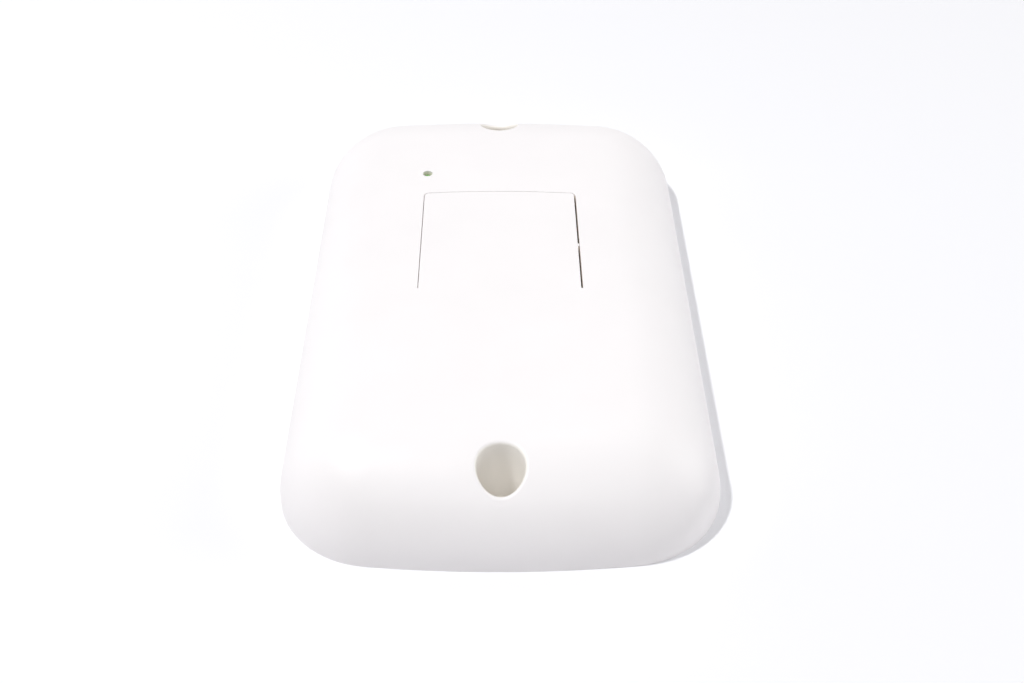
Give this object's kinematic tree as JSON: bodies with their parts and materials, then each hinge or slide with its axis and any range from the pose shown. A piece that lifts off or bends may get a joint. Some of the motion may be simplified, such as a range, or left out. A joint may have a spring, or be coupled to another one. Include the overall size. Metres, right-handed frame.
{
  "type": "wireless wall push button for a garage door",
  "caption": "White wall-mounted garage door remote with one large flap button, a small green light, screw recesses and a coin-turned battery cap.",
  "frame": {"origin": "middle of the flat back face, in the plane of the wall", "axes": "+Z out of the wall through the front face, +Y to the end with the light, +X to the right seen from the front"},
  "size_m": [0.07, 0.114, 0.015],
  "materials": {
    "white_cover": "satin, very fine moulded texture",
    "white_back": "fine spark-eroded texture",
    "screw_steel": "zinc plated",
    "sheet_steel": "stamped sheet",
    "cell_steel": "bright nickel plated",
    "tinned_metal": "tinned",
    "board_green": "solder mask over glass laminate",
    "black_plastic": "moulded",
    "chip_black": "moulded epoxy",
    "ceramic": "fired ceramic",
    "ceramic_tan": "fired ceramic",
    "ferrite": "sintered",
    "tantalum_yellow": "moulded",
    "copper": "under clear varnish",
    "led_green": "translucent, diffusing",
    "gasket": "translucent sealing ring",
    "electrode": null
  },
  "bodies": {
    "housing": {"front_shell": "white_cover", "rear_cover": "white_back", "cover_screws": "screw_steel", "board_screws": "screw_steel", "circuit_board": "board_green", "switch_body": "black_plastic", "switch_cover_plate": "sheet_steel", "switch_dome": "sheet_steel", "switch_terminals": "tinned_metal", "status_led": "led_green", "led_leads": "tinned_metal", "solder_joints": "tinned_metal", "controller_chip": "chip_black", "controller_chip_pins": "tinned_metal", "radio_chip": "chip_black", "radio_chip_pins": "tinned_metal", "crystal_base": "ceramic", "crystal_can": "sheet_steel", "chip_resistors": "chip_black", "chip_capacitors": "ceramic_tan", "chip_inductors": "ferrite", "chip_end_caps": "tinned_metal", "tantalum_capacitor": "tantalum_yellow", "tantalum_terminals": "tinned_metal", "antenna_trace": "copper", "battery_holder": "black_plastic", "battery_contact_positive": "sheet_steel", "battery_contact_negative": "sheet_steel", "coin_cell_can": "cell_steel", "coin_cell_gasket": "gasket", "coin_cell_cap": "cell_steel", "coin_cell_electrodes": "electrode"},
    "flap": {"button_flap": "white_cover"},
    "plunger": {"switch_plunger": "black_plastic"},
    "battery_cap": {"battery_cap": "white_back"}
  },
  "joints": [
    {"name": "flap_press", "type": "hinge", "parent": "housing", "child": "flap", "pos_m": [0, -0.0072, 0.0141], "axis": [-1, 0, 0], "range_deg": [0, 1], "stiffness_Nm_per_rad": 1.7},
    {"name": "switch_press", "type": "slide", "parent": "housing", "child": "plunger", "axis": [0, 0, -1], "range_m": [0, 0.00031], "deforming": ["switch_dome"]},
    {"name": "battery_cap_turn", "type": "hinge", "parent": "housing", "child": "battery_cap", "pos_m": [0, -0.0255, 0], "axis": [0, 0, -1], "range_deg": [0, 45]}
  ],
  "couplings": [
    {"joint": "switch_press", "follows": "flap_press", "m_per_rad": 0.0172}
  ]
}
